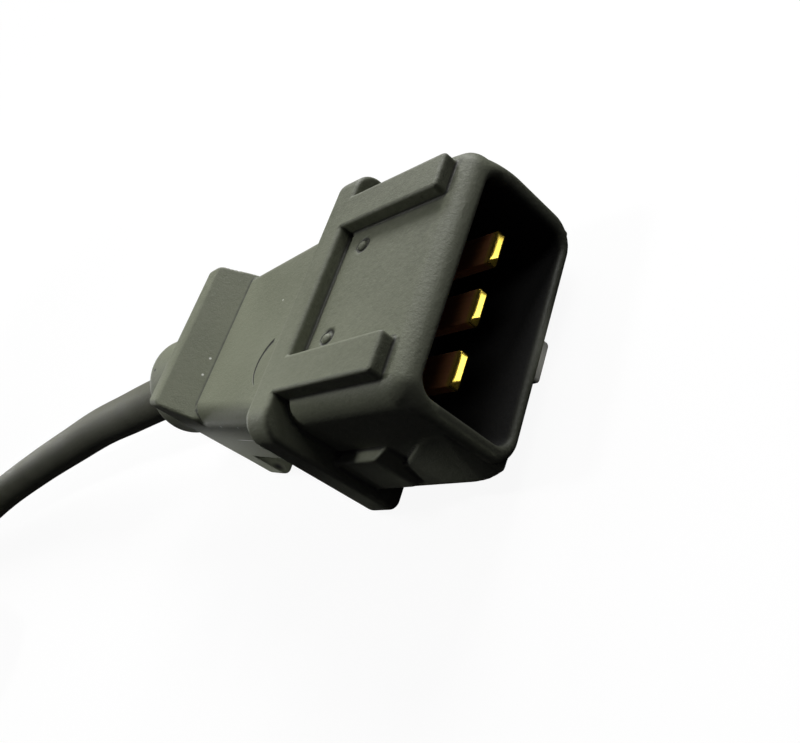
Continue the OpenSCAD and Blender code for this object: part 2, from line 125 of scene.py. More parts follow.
def capped_sleeve(rings, ends):
    """Skin over a row of rings with as many points each: squares between neighbours, and at each end a fan
    of triangles round that end's middle point."""
    n, sides = rings.shape[:2]
    i, k = np.meshgrid(np.arange(n - 1), np.arange(sides), indexing="ij")
    j = (k + 1) % sides
    walls = np.stack([i * sides + k, i * sides + j, (i + 1) * sides + j, (i + 1) * sides + k], -1)
    k = np.arange(sides)
    j = (k + 1) % sides
    last = (n - 1) * sides
    first_fan = np.stack([j, k, np.full(sides, n * sides)], 1)
    last_fan = np.stack([last + k, last + j, np.full(sides, n * sides + 1)], 1)
    faces = walls.reshape(-1, 4).tolist() + first_fan.tolist() + last_fan.tolist()
    return np.concatenate([rings.reshape(-1, 3), ends]), faces


def tube(route, radius, sides):
    """Circle of the given radius carried along the route, square to its way, with its start kept level."""
    way = np.gradient(route, axis=0)
    way /= np.linalg.norm(way, axis=1)[:, None]
    side = np.cross(way, (0, 0, 1.0))
    side /= np.linalg.norm(side, axis=1)[:, None]
    top = np.cross(side, way)
    a = np.linspace(0, 2 * np.pi, sides, endpoint=False)[None, :, None]
    rings = route[:, None] + radius * (np.cos(a) * side[:, None] + np.sin(a) * top[:, None])
    return capped_sleeve(rings, route[[0, -1]])


def add_node(tree, kind, *inputs, **settings):
    """Shader node with its settings, and with each named input linked to a socket or set to a value."""
    made = tree.nodes.new(kind)
    for key, value in settings.items():
        setattr(made, key, value)
    for socket, value in inputs:
        if isinstance(value, bpy.types.NodeSocket):
            tree.links.new(value, made.inputs[socket])
        else:
            made.inputs[socket].default_value = value
    return made


class Finish:
    """A procedural material, put together from a principled shader and nodes on Object coordinates."""

    def __init__(self, name, color, roughness, **sockets):
        self.material = bpy.data.materials.new(name)
        self.material.use_nodes = True
        self.tree = self.material.node_tree
        self.shader = self.tree.nodes["Principled BSDF"]
        self.shader.inputs["Base Color"].default_value = (*color, 1)
        self.shader.inputs["Roughness"].default_value = roughness
        for socket, value in sockets.items():
            self.shader.inputs[socket.replace("_", " ")].default_value = value
        self.place = self.tree.nodes.new("ShaderNodeTexCoord").outputs["Object"]

    def node(self, kind, *inputs, **settings):
        return add_node(self.tree, kind, *inputs, **settings)

    def noise(self, scale, detail, rough=0.55, place=None):
        return self.node("ShaderNodeTexNoise", ("Vector", place or self.place), ("Scale", scale),
                         ("Detail", detail), ("Roughness", rough)).outputs["Fac"]

    def wave(self, scale, distortion, **settings):
        return self.node("ShaderNodeTexWave", ("Vector", self.place), ("Scale", scale),
                         ("Distortion", distortion), **settings).outputs["Fac"]

    def axes(self):
        return self.node("ShaderNodeSeparateXYZ", ("Vector", self.place)).outputs

    def attribute(self, name):
        return self.node("ShaderNodeAttribute", attribute_name=name).outputs["Fac"]

    def math(self, operation, a, b=0.0):
        return self.node("ShaderNodeMath", (0, a), (1, b), operation=operation).outputs[0]

    def ramp(self, value, low, high, to_low=0.0, to_high=1.0):
        return self.node("ShaderNodeMapRange", ("Value", value), ("From Min", low), ("From Max", high),
                         ("To Min", to_low), ("To Max", to_high)).outputs["Result"]

    def mix(self, amount, low, high):
        """One colour faded into another by an amount; 6, 7 and 2 are the mix node's colour sockets."""
        low, high = (v if isinstance(v, bpy.types.NodeSocket) else (*v, 1) for v in (low, high))
        mixed = self.node("ShaderNodeMix", ("Factor", amount), (6, low), (7, high), data_type="RGBA")
        return mixed.outputs[2]

    def blend(self, pattern, low, high, start=0.3, end=0.7):
        """One colour faded into another over the middle values of a pattern."""
        return self.mix(self.ramp(pattern, start, end), low, high)

    def into(self, socket, value):
        self.tree.links.new(value, self.shader.inputs[socket])

    def gloss(self, pattern, low, high):
        """Roughness that changes from low to high over the middle values of a pattern."""
        self.into("Roughness", self.ramp(pattern, 0.3, 0.7, low, high))

    def bump(self, height, distance):
        made = self.node("ShaderNodeBump", ("Height", height), ("Distance", distance))
        self.into("Normal", made.outputs["Normal"])

    def onto(self, piece):
        piece.data.materials.clear()
        piece.data.materials.append(self.material)


coil_way = coil_points(np.linspace(0, coil_sweep_deg, coil_point_count))
cable_route = smooth_route(np.concatenate([lead_points, coil_way, tail_points]), ring_spacing) * mm
cable = new_piece("cable", *tube(cable_route, cable_radius, cable_sides))

sheath_dark, sheath_light = (0.110, 0.113, 0.082), (0.146, 0.150, 0.110)
sheath = Finish("cable_sheath", (0.091, 0.094, 0.068), 0.58, Specular_IOR_Level=0.25)
mottle = sheath.noise(300, detail=5)
grain = sheath.noise(5200, detail=3)
sheath.into("Base Color", sheath.blend(mottle, sheath_dark, sheath_light))
sheath.gloss(mottle, 0.52, 0.66)
sheath.bump(sheath.math("ADD", grain, sheath.math("MULTIPLY", mottle, 1.5)), distance=0.00004)
sheath.onto(cable)
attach(cable, "root")
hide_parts("cable_lead", "cable_coil", "cable_tail")

# Connector housing
# One moulding in dark olive-grey glass-filled nylon, shot round the terminals and the cable's end.
# Shroud with rails, key and latch ends at the front, a flange, a waisted neck, a sloped rear plate and a
# round collar; every edge has a mould radius.
connector_place = np.array((98.5, 29.5, 7.0))
# Sizes in millimetres from the middle of the mouth, with x out of it, y across the blades and z up:
# a side is a distance from the middle plane, ends lie along x and heights along z, a slope is a normal
shroud_side, shroud_heights, shroud_back = 10.05, (-5.45, 5.5), -13.0
near_corner, far_corner, lower_corner = 1.75, 0.8, 2.3
socket_side, socket_heights, socket_floor, socket_corner = 8.8, (-4.7, 3.75), -11.0, 1.3
rail_sides, rail_heights = (5.75, 8.8), (3.0, 6.65)
rail_front, rail_front_slope = (-1.75, 5.5), (1.15, 0.02)
latch_root, latch_side, latch_ends, latch_heights = 8.5, 10.65, (-9.4, -0.45), (-5.2, 0.4)
latch_tilt, latch_bend, latch_draft = (1.0, 0.107), -2.8, (0.1, 1.0)
latch_nose, latch_nose_slope = (-1.4, 10.5), (0.55, 1.0)
latch_ramp, latch_ramp_slope = (-2.5, 0.4), (-4.13, 7.0)
stop_side, stop_front, stop_heights = 11.0, -7.8, (-4.53, -0.2)
key_sides, key_ends, key_heights = (-2.2, 1.2), (-5.1, -1.1), (-7.0, -4.0)
flange_side, flange_ends, flange_heights = 11.8, (-14.8, -12.2), (-7.0, 6.65)
neck_side, neck_taper, neck_half_height, neck_ends = 7.6, 0.125, 4.3, (-30.5, -13.0)
rear_front, rear_ends, rear_lean, rear_heights = -29.0, (-32.42, -28.5), 0.03, (-7.0, 7.0)
rear_ramp_slope = (2.7, 2.1)
collar_radius, collar_ends, collar_bore = 4.8, (-42.75, -31.0), 2.33
ejector_place, ejector_radius, ejector_flatness = (-9.9, 4.05, 5.5), 0.7, 2.8
pip_place, pip_radius, pip_flatness = (-10.1, 4.1, 5.3), 0.44, 1.3
housing_low, housing_high, housing_step = (-42.8, -11.9, -7.1), (0.1, 11.9, 7.1), 0.22


def span(u, low, high):
    """Distance outside a slab from low to high, negative inside."""
    return np.maximum(low - u, u - high)


def meet(a, b, r):
    """Common part of two fields, with the edge between them rounded to radius r."""
    return np.minimum(np.maximum(a, b), -r) + np.hypot(np.maximum(a + r, 0), np.maximum(b + r, 0))


def join(a, b, r):
    """Two fields together, with a fillet of radius r in the corner between them."""
    return np.maximum(np.minimum(a, b), r) - np.hypot(np.maximum(r - a, 0), np.maximum(r - b, 0))


def round_rect(u, v, low, high, r):
    """Distance from a rectangle with corners low and high, rounded to radius r."""
    a = span(u, low[0], high[0]) + r
    b = span(v, low[1], high[1]) + r
    return np.hypot(np.maximum(a, 0), np.maximum(b, 0)) + np.minimum(np.maximum(a, b), 0) - r


def plane(u, v, through, toward):
    """Distance past a line through one point, in the direction of its normal."""
    n = np.hypot(*toward)
    return ((u - through[0]) * toward[0] + (v - through[1]) * toward[1]) / n


def dimple(x, y, z, place, radius, flatness):
    """Distance from a ball round a place, pressed flat along z."""
    return np.hypot(np.hypot(x - place[0], y - place[1]), (z - place[2]) * flatness) - radius


def skin(field, low, high, step):
    """Closed surface where a field is zero: each grid cell that the surface crosses gets one point, the mean
    of the crossings on its edges, moved onto the surface along the field's slope; each grid edge that
    crosses the surface gets the square of its four cells. Returns points, squares, unit normals and edge
    curvature."""
    low = np.array(low) - 2 * step
    axes = [np.arange(a, b + 3 * step, step) for a, b in zip(low, high)]
    value = field(*np.meshgrid(*axes, indexing="ij"))
    solid = value < 0
    size = np.array(value.shape) - 1
    corners = np.array([(i, j, k) for i in (0, 1) for j in (0, 1) for k in (0, 1)])
    count = sum(solid[i:i + size[0], j:j + size[1], k:k + size[2]].astype(np.int8) for i, j, k in corners)
    crossed = (count > 0) & (count < 8)
    cells = np.argwhere(crossed)
    at = [value[tuple((cells + c).T)] for c in corners]
    total = np.zeros((len(cells), 3))
    hits = np.zeros((len(cells), 1))
    for p in range(8):
        for q in range(p + 1, 8):
            if np.abs(corners[p] - corners[q]).sum() == 1:
                cut = ((at[p] < 0) != (at[q] < 0))[:, None]
                t = (at[p] / np.where(at[p] == at[q], 1, at[p] - at[q]))[:, None]
                total += np.where(cut, corners[p] + t * (corners[q] - corners[p]), 0)
                hits += cut
    points = low + (cells + total / hits) * step
    probe, furthest, least_slope = step * 0.2, step * 0.6, 0.2

    def slope(p):
        """Slope of the field at points, from its values a short way to both sides."""
        rise = [field(*(p + probe * e).T) - field(*(p - probe * e).T) for e in np.eye(3)]
        return np.stack(rise, 1) / (2 * probe)

    for _ in range(3):
        g = slope(points)
        move = field(*points.T)[:, None] * g / np.maximum((g * g).sum(1, keepdims=True), least_slope)
        points -= np.clip(move, -furthest, furthest)
    normals = slope(points)
    normals /= np.maximum(np.linalg.norm(normals, axis=1, keepdims=True), 1e-9)
    reach = 0.22
    bend = sum(field(*(points + reach * e).T) + field(*(points - reach * e).T) for e in np.eye(3))
    bend = (bend - 6 * field(*points.T)) / reach
    number = np.full(size, -1)
    number[crossed] = np.arange(len(cells))
    squares = []
    for axis in range(3):
        e1, e2 = np.eye(3, dtype=int)[(axis + 1) % 3], np.eye(3, dtype=int)[(axis + 2) % 3]
        lower = np.take(solid, range(size[axis]), axis)
        upper = np.take(solid, range(1, size[axis] + 1), axis)
        edge = np.argwhere(lower != upper)
        quad = np.stack([number[tuple((edge - o).T)] for o in (0 * e1, e1, e1 + e2, e2)], 1)
        out = lower[tuple(edge.T)]
        squares += [quad[out], quad[~out][:, ::-1]]
    return points, np.concatenate(squares), normals, bend


def add_values(piece, name, values):
    """One number for each vertex, which the piece's material can read by name."""
    made = piece.data.attributes.new(name, "FLOAT", "POINT")
    made.data.foreach_set("value", values.astype(np.float32))


def moulded_piece(name, field, low, high, step, place=(0, 0, 0)):
    """Piece from a field in millimetres, with the field's own normals and its edge curvature as values."""
    points, squares, normals, bend = skin(field, low, high, step)
    piece = new_piece(name, (points + np.array(place)) * mm, squares.tolist())
    piece.data.normals_split_custom_set_from_vertices(normals.tolist())
    add_values(piece, "edge", np.clip(bend, -2, 2))
    return piece


def housing_field(x, y, z):
    """Shroud, rails, latch ends, key, flange, neck, rear plate and collar joined with small fillets, less the
    socket, the cable's bore and the ejector marks. The halves are alike across the middle plane, except for
    the key and the edges along the top. The rim is rounder toward its top."""
    a = np.abs(y)
    rim_radius = 0.4 + 1.2 * np.clip((z - 1.0) / 3.0, 0, 1) ** 2
    top_corner = np.where(y < 0, near_corner, far_corner + np.clip((x + 4.0) / 4.0, 0, 1) ** 2)
    profile = meet(a - shroud_side, z - shroud_heights[1], top_corner)
    profile = meet(profile, shroud_heights[0] - z, lower_corner)
    shroud = meet(profile, span(x, shroud_back, 0.0), rim_radius)
    rail = meet(span(a, *rail_sides), span(z, *rail_heights), 0.2)
    rail = meet(rail, np.maximum(plane(x, z, rail_front, rail_front_slope), shroud_back - x), 0.3)
    land = meet(plane(a, z, (latch_side, latch_heights[0]), latch_tilt),
                plane(x, a, (latch_bend, latch_side), latch_draft), 0.1)
    land = meet(land, plane(x, a, latch_nose, latch_nose_slope), 0.3)
    land = meet(land, np.maximum(plane(x, z, latch_ramp, latch_ramp_slope), z - latch_heights[1]), 0.12)
    land = meet(land, np.maximum(np.maximum(latch_heights[0] - z, latch_root - a), span(x, *latch_ends)), 0.3)
    stop = meet(a - stop_side, plane(x, a, (stop_front, stop_side), (1.0, 1.0)), 0.2)
    stop = meet(stop, np.maximum(np.maximum(span(z, *stop_heights), shroud_back - x), latch_root - a), 0.18)
    key = meet(meet(span(y, *key_sides), span(x, *key_ends), 0.3), span(z, *key_heights), 0.3)
    flange = meet(meet(a - flange_side, z - flange_heights[1], 1.9), flange_heights[0] - z, 1.0)
    flange = meet(flange, span(x, *flange_ends), 0.4)
    waist = a - neck_taper * (x - rear_front) - neck_side
    neck = meet(waist, np.abs(z) - neck_half_height, np.where(y < 0, 1.7, 1.1))
    neck = meet(neck, span(x, *neck_ends), 0.2)
    rear = meet(meet(waist, z - rear_heights[1], 0.5), rear_heights[0] - z, 0.6)
    rear = meet(rear, span(x + rear_lean * z, *rear_ends), 0.35)
    rear = meet(rear, plane(x, z, (rear_front, neck_half_height), rear_ramp_slope), 0.2)
    rear = np.where(z < 0, meet(rear, x - rear_front, 0.7), rear)
    ring = np.hypot(y, z)
    collar = meet(ring - collar_radius, span(x, *collar_ends), 1.3)
    body = join(shroud, land, 0.12)
    body = join(body, stop, 0.15)
    body = join(body, key, 0.15)
    body = np.minimum(join(body, flange, 0.3), join(shroud, rail, 0.12))
    body = join(body, np.minimum(neck, rear), 0.45)
    body = join(body, collar, 0.4)
    socket = round_rect(
        a, z, (-socket_side, socket_heights[0]), (socket_side, socket_heights[1]), socket_corner)
    body = meet(body, -meet(socket, socket_floor - x, 0.4), 0.38)
    body = meet(body, -np.maximum(ring - collar_bore, x - collar_ends[1]), 0.3)
    mark = dimple(x, a, z, ejector_place, ejector_radius, ejector_flatness)
    pip = dimple(x, a, z, pip_place, pip_radius, pip_flatness)
    return join(meet(body, -mark, 0.12), pip, 0.06)


housing = moulded_piece(
    "connector_moulding", housing_field, housing_low, housing_high, housing_step, connector_place)
# How deep each point lies in the socket, for the shade painted there, and where a highlight is painted along
# the mouth's upper edge
coordinates = np.empty(len(housing.data.vertices) * 3, np.float32)
housing.data.vertices.foreach_get("co", coordinates)
x, y, z = coordinates.reshape(-1, 3).T * 1000 - connector_place[:, None]
# Painted shade, deeper into the socket the darker
in_socket = (np.abs(y) < 9.5) & (z > -5.2) & (z < 4.0) & (x > -11.2)
socket_shade = np.clip((np.where(z < 2, 0.35, -0.1) - x) / 0.9, 0, 1)
add_values(housing, "socket_shade", np.where(in_socket, socket_shade, 0))
# Painted highlight along the mouth's upper edge
painted_highlight_mask = np.clip((x + 1.1) / 0.7, 0, 1) * np.clip((z - 3.0) / 0.8, 0, 1)
add_values(housing, "mouth_highlight", 0.5 * painted_highlight_mask)

olive_dark, olive_light = (0.164, 0.177, 0.122), (0.194, 0.208, 0.145)
# Painted shade: darker tints for the front and the far side, standing in for less light there
front_painted_shade_dark, front_painted_shade_pale = (0.104, 0.112, 0.077), (0.127, 0.136, 0.094)
# The second and third colours are painted highlights, for convex edges and the mouth's upper edge
grain_pale, edge_painted_highlight, mouth_painted_highlight = (0.240, 0.253, 0.188), (0.29, 0.30, 0.235), (0.205, 0.219, 0.158)
# The first two colours are painted shade, for creases and the socket's inside
crease_painted_shade, socket_painted_shade, line_dark = (0.03, 0.03, 0.028), (0.020, 0.020, 0.021), (0.02, 0.02, 0.018)
nylon = Finish("connector_nylon", (0.160, 0.172, 0.127), 0.55, Specular_IOR_Level=0.35)
clouds = nylon.noise(160, detail=4)
grain = nylon.noise(2600, detail=5, rough=0.65)
fibres = nylon.noise(7000, detail=2)
along = nylon.axes()
edge = nylon.attribute("edge")
# Painted shade, growing toward the front and toward the far side
shade_toward_front = nylon.math("ADD", along["X"], nylon.math("MULTIPLY", along["Y"], 1.1))
olive = nylon.blend(clouds, olive_dark, olive_light)
front = nylon.blend(clouds, front_painted_shade_dark, front_painted_shade_pale)
olive = nylon.mix(nylon.ramp(shade_toward_front, 0.107, 0.131), olive, front)
olive = nylon.mix(nylon.ramp(grain, 0.35, 0.75, 0.0, 0.36), olive, grain_pale)
# Painted highlight on convex edges
olive = nylon.mix(nylon.ramp(edge, 0.35, 1.3, 0.0, 0.12), olive, edge_painted_highlight)
# Painted shade in concave creases and corners
olive = nylon.mix(nylon.ramp(edge, -0.15, -0.9, 0.0, 0.8), olive, crease_painted_shade)
# Painted highlight along the mouth's upper edge
olive = nylon.mix(nylon.attribute("mouth_highlight"), olive, mouth_painted_highlight)
# Painted shade deep inside the socket
olive = nylon.mix(nylon.math("MULTIPLY", nylon.attribute("socket_shade"), 0.95), olive, socket_painted_shade)
# Pale specks on the rear ramp and the neck, a scratch along the neck's side, a dark spot on the collar and
# one on the rear plate's lower end, and light painted on the key's end: place, three half lengths and colour
pale, dark, key_painted_light = (0.75, 0.76, 0.70), (0.03, 0.03, 0.025), (0.42, 0.42, 0.37)
for place, half, tint in (
        ((69.16, 27.7, 11.73), (0.11, 0.11, 0.11), pale), ((69.14, 26.03, 11.75), (0.11, 0.11, 0.11), pale),
        ((77.19, 32.23, 11.3), (0.09, 0.09, 0.09), pale), ((57.54, 28.52, 11.7), (0.2, 0.16, 0.16), dark),
        ((73.0, 21.46, 7.37), (1.65, 0.4, 0.07), pale), ((72.6, 21.5, 9.8), (0.12, 0.2, 0.12), pale),
        # Painted light on the key's end, in place of light from the floor
        ((75.4, 21.2, 9.7), (0.1, 0.2, 0.1), pale), ((97.4, 29.0, 0.6), (1.4, 2.4, 1.0), key_painted_light),
        ((69.5, 22.0, 1.5), (0.45, 0.4, 0.75), dark)):
    spread = nylon.node("ShaderNodeMapping", ("Vector", nylon.place), ("Location", np.array(place) * mm),
                        ("Scale", np.array(half) * mm), vector_type="TEXTURE")
    away = nylon.node("ShaderNodeVectorMath", (0, spread.outputs["Vector"]), operation="LENGTH")
    olive = nylon.mix(nylon.ramp(away.outputs["Value"], 1.2, 0.6), olive, tint)
# Dark flow line on the neck's top: an arc of a circle, thin at its near end and thicker at its far end
flow_centre, flow_radius = (0.0802, 0.02575, 0.0113), 0.00271
thin_line, thicker_by = 0.00008, 0.00012
away = nylon.node("ShaderNodeVectorMath", (0, nylon.place), (1, flow_centre), operation="DISTANCE")
line = nylon.math("ABSOLUTE", nylon.math("SUBTRACT", away.outputs["Value"], flow_radius))
line = nylon.math("SUBTRACT", line, nylon.ramp(along["Y"], 0.0238, 0.0278, 0.0, thicker_by))
line = nylon.ramp(line, thin_line, 0.0)
line = nylon.math("MULTIPLY", line, nylon.math("LESS_THAN", along["X"], 0.0786))
line = nylon.math("MULTIPLY", line, nylon.ramp(along["Y"], 0.0237, 0.0241))
line = nylon.math("MULTIPLY", line, nylon.math("GREATER_THAN", along["Z"], 0.0109))
nylon.into("Base Color", nylon.mix(line, olive, line_dark))
nylon.gloss(clouds, 0.48, 0.62)
height = nylon.math("ADD", grain, nylon.math("MULTIPLY", fibres, 0.5))
height = nylon.math("SUBTRACT", height, nylon.math("MULTIPLY", line, 2.0))
nylon.bump(height, distance=0.00004)
nylon.onto(housing)
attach(housing, "root")
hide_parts("connector_housing")

# Terminals
# Three flat blades stamped from brass strip and gold-plated, 2.8 by 0.8 mm, with bevelled tips.
# Behind the socket's floor each ends in a round crimp on its core, all of it moulded in.
blade_pitch = 5.0
blade_sides = 120
blade_sharp_deg = 60
# Place along x, half width, half height and corner power at each station, from the crimp to the tip
blade_stations = [
    (-23.2, 0.76, 0.76, 2.0), (-23.2, 1.3, 1.3, 2.0), (-23.1, 1.34, 1.34, 2.0), (-17.5, 1.34, 1.34, 2.0),
    (-17.2, 1.3, 1.3, 2.0), (-16.9, 1.4, 0.4, 12.0), (-8.0, 1.4, 0.4, 12.0), (-1.72, 1.4, 0.4, 12.0),
    (-1.58, 1.36, 0.395, 9.0), (-1.52, 1.3, 0.38, 7.0), (-1.34, 1.15, 0.21, 5.5), (-1.16, 0.98, 0.05, 5.0),
    (-1.14, 0.94, 0.03, 5.0)]


def blade_surface(stations, sides):
    """Closed sleeve of rounded oblong sections: each is a superellipse with its station's half width, half
    height and corner power, and both ends shrink to a middle point."""
    x, wide, tall, power = np.array(stations).T
    a = np.linspace(0, 2 * np.pi, sides, endpoint=False)
    c, s = np.cos(a), np.sin(a)
    y = wide[:, None] * np.sign(c) * np.abs(c) ** (2 / power[:, None])
    z = tall[:, None] * np.sign(s) * np.abs(s) ** (2 / power[:, None])
    rings = np.stack([np.broadcast_to(x[:, None], y.shape), y, z], -1)
    return capped_sleeve(rings, np.array([(x[0], 0, 0), (x[-1], 0, 0)]))


# Gold that is bright on the bevelled tip, and streaked behind it, where it is painted darker and browner as
# shade, from one place along x to another
shaded_streak_dark, shaded_streak_light, tip_gold = (0.66, 0.27, 0.11), (0.80, 0.35, 0.14), (0.97, 0.72, 0.11)
bright_from, bright_to = 0.0963, 0.0970
streak_scale = (400.0, 5200.0, 5200.0)
gold = Finish("blade_gold", (0.88, 0.64, 0.22), 0.24, Metallic=0.85)
tip_polish_and_light = gold.ramp(gold.axes()["X"], bright_from, bright_to)
stretched = gold.node("ShaderNodeMapping", ("Vector", gold.place), ("Scale", streak_scale))
streak = gold.noise(1.0, detail=3, place=stretched.outputs["Vector"])
# Painted shade: behind the tip the gold is darker and browner
gold.into("Base Color", gold.mix(tip_polish_and_light, gold.mix(streak, shaded_streak_dark, shaded_streak_light), tip_gold))
gold.into("Metallic", gold.ramp(tip_polish_and_light, 0.0, 1.0, 0.25, 0.9))
gold.into("Roughness", gold.ramp(tip_polish_and_light, 0.0, 1.0, 0.42, 0.2))
gold.bump(gold.math("MULTIPLY", streak, gold.math("SUBTRACT", 1.0, tip_polish_and_light)), distance=0.000004)
blade_points, blade_faces = blade_surface(blade_stations, blade_sides)
for number, offset in ((1, blade_pitch), (2, 0.0), (3, -blade_pitch)):
    blade = new_piece(f"blade_{number}", (blade_points + connector_place + (0, offset, 0)) * mm, blade_faces)
    blade.data.set_sharp_from_angle(angle=np.radians(blade_sharp_deg))
    gold.onto(blade)
    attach(blade, "root")
    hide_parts(f"terminal_{number}")

# Cores and drain wire
# Inside the connector: two insulated cores and the bare tinned drain wire of the screen, each from its crimp
# to the cable's end. Inside the head: the same two cores again, up to the bobbin's lead-out pins.


def dress(finish, *nodes):
    """Puts a finish on solids that keep their own shape."""
    for node in nodes:
        finish.onto(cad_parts[node])


def insulation(name, low, high):
    """Smooth extruded or moulded plastic, faintly clouded between two tints."""
    made = Finish(name, low, 0.35, Specular_IOR_Level=0.5)
    shade = made.noise(700, detail=4)
    made.into("Base Color", made.blend(shade, low, high))
    made.bump(shade, distance=0.00003)
    return made


white_core = insulation("white_insulation", (0.72, 0.72, 0.68), (0.84, 0.84, 0.80))
brown_core = insulation("brown_insulation", (0.16, 0.07, 0.03), (0.24, 0.11, 0.05))
tinned = Finish("tinned_copper", (0.66, 0.66, 0.64), 0.36, Metallic=1.0)
strands = tinned.wave(1500.0, 1.5)
tinned.into("Base Color", tinned.mix(strands, (0.58, 0.57, 0.54), (0.72, 0.72, 0.71)))
tinned.bump(strands, distance=0.00003)
dress(white_core, "core_1", "sensor_core_1")
dress(brown_core, "core_2", "sensor_core_2")
dress(tinned, "screen_drain", "lead_pin_1", "lead_pin_2")

# Sensor head
# Injection-moulded body in black glass-filled nylon: a round back, a flat ear for one screw, a nose that goes
# into the engine block, with a groove for its seal, and a snout that holds the cable, stiffened by a rib.
back_radius, back_top = 9.6, 17.0
nose_radius, nose_heights = 8.9, (10.0, 44.6)
ear_root_radius, ear_end_radius, ear_pitch, ear_heights = 10.2, 7.5, 21.0, (12.6, 20.6)
snout_radius, snout_end, snout_z = 5.0, -14.0, 7.0
rib_half, rib_end = 1.0, -11.0
groove_floor, groove_heights = 7.4, (22.2, 24.8)
cavity_radius, cavity_top, pole_hole_radius, bush_seat_radius = 6.2, 42.8, 2.55, 4.65
snout_bore, snout_bore_end = 2.35, -6.0
head_low, head_high, head_step = (-14.1, -10.3, -0.1), (28.6, 10.3, 44.7), 0.31


def head_field(x, y, z):
    """Back, nose, ear, snout and rib joined with fillets, less the cartridge cavity, the pole's hole, the
    seal's groove, the bush's seat and the cable's bore. The ear is the hull of two rounds, with straight
    sides between them."""
    radius = np.hypot(x, y)
    back = meet(radius - back_radius, span(z, 0.0, back_top), 0.8)
    nose = meet(radius - nose_radius, span(z, *nose_heights), 0.9)
    lean = (ear_root_radius - ear_end_radius) / ear_pitch
    straight = np.sqrt(1 - lean * lean)
    a = np.abs(y)
    along = -lean * a + straight * x
    ear = np.where(along > straight * ear_pitch, np.hypot(x - ear_pitch, a) - ear_end_radius,
                   straight * a + lean * x - ear_root_radius)
    ear = np.where(along < 0, radius - ear_root_radius, ear)
    ear = meet(ear, span(z, *ear_heights), 0.5)
    snout_ring = np.hypot(y, z - snout_z)
    snout = meet(snout_ring - snout_radius, span(x, snout_end, 0.0), 0.7)
    rib = meet(meet(span(y, -rib_half, rib_half), span(x, rib_end, 0.0), 0.3), span(z, 0.0, snout_z), 0.2)
    body = join(join(back, ear, 0.9), nose, 0.15)
    body = join(body, join(snout, rib, 0.4), 0.9)
    body = np.maximum(body, np.maximum(-z, a - ear_root_radius))
    groove = meet(span(z, *groove_heights), groove_floor - radius, 0.25)
    body = meet(body, -groove, 0.15)
    body = meet(body, -np.maximum(radius - cavity_radius, z - cavity_top), 0.15)
    body = np.maximum(body, pole_hole_radius - radius)
    body = meet(body, bush_seat_radius - np.hypot(x - ear_pitch, y), 0.12)
    return meet(body, -np.maximum(snout_ring - snout_bore, x - snout_bore_end), 0.2)


head = moulded_piece("head_moulding", head_field, head_low, head_high, head_step)
soot_dark, soot_light, soot_worn = (0.042, 0.042, 0.038), (0.058, 0.058, 0.053), (0.12, 0.12, 0.11)
black_nylon = Finish("head_nylon", (0.050, 0.050, 0.046), 0.5, Specular_IOR_Level=0.42)
clouds = black_nylon.noise(140, detail=4)
grain = black_nylon.noise(2400, detail=5, rough=0.65)
soot = black_nylon.blend(clouds, soot_dark, soot_light)
worn = black_nylon.ramp(black_nylon.attribute("edge"), 0.3, 1.4, 0.0, 0.45)
black_nylon.into("Base Color", black_nylon.mix(worn, soot, soot_worn))
black_nylon.gloss(clouds, 0.42, 0.58)
black_nylon.bump(grain, distance=0.00006)
black_nylon.onto(head)
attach(head, "root")
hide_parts("sensor_body")

# Mounting bush
# A turned steel tube with bevelled ends, zinc-plated, pressed into the ear so that the screw
# clamps metal and not plastic.
bush_profile = [
    (3.3, 12.9), (3.6, 12.6), (4.35, 12.6), (4.6, 12.85),
    (4.6, 20.35), (4.35, 20.6), (3.6, 20.6), (3.3, 20.3)]
bush_sides = 72


def turned(profile, sides, axis="Z", centre=(0, 0, 0)):
    """Closed profile of radius and height carried once round an axis, Z or the one opposite to X."""
    r, h = np.array(profile, float).T
    n = len(r)
    a = np.linspace(0, 2 * np.pi, sides, endpoint=False)
    c, s = np.cos(a)[:, None], np.sin(a)[:, None]
    level = np.broadcast_to(h, (sides, n))
    rings = np.stack([r * c, r * s, level] if axis == "Z" else [-level, r * c, -r * s], -1)
    i, k = np.meshgrid(np.arange(sides), np.arange(n), indexing="ij")
    i2, k2 = (i + 1) % sides, (k + 1) % n
    walls = np.stack([i * n + k, i2 * n + k, i2 * n + k2, i * n + k2], -1).reshape(-1, 4)
    return (rings.reshape(-1, 3) + np.array(centre)) * mm, walls.tolist()


bush = new_piece("bush_tube", *turned(bush_profile, bush_sides, centre=(ear_pitch, 0, 0)), smooth=False)
zinc = Finish("zinc_plate", (0.62, 0.60, 0.52), 0.34, Metallic=1.0)
tarnish = zinc.noise(260, detail=5)
lathe = zinc.wave(2200.0, 0.6, bands_direction="Z")
zinc.into("Base Color", zinc.blend(tarnish, (0.56, 0.54, 0.45), (0.70, 0.68, 0.60)))
zinc.gloss(tarnish, 0.26, 0.44)
zinc.bump(lathe, distance=0.00001)
zinc.onto(bush)
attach(bush, "root")
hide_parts("mounting_bush")

# Seal
# A nitrile rubber O-ring, moulded as one loop and stretched into the nose's groove,
# where it seals the nose in the engine block's bore.
nitrile = Finish("nitrile", (0.022, 0.022, 0.022), 0.42, Specular_IOR_Level=0.45)
bloom = nitrile.noise(500, detail=5)
nitrile.into("Base Color", nitrile.blend(
    bloom, (0.018, 0.018, 0.018), (0.04, 0.04, 0.039), start=0.35, end=0.75))
nitrile.gloss(bloom, 0.36, 0.52)
nitrile.bump(bloom, distance=0.00003)
dress(nitrile, "o_ring")

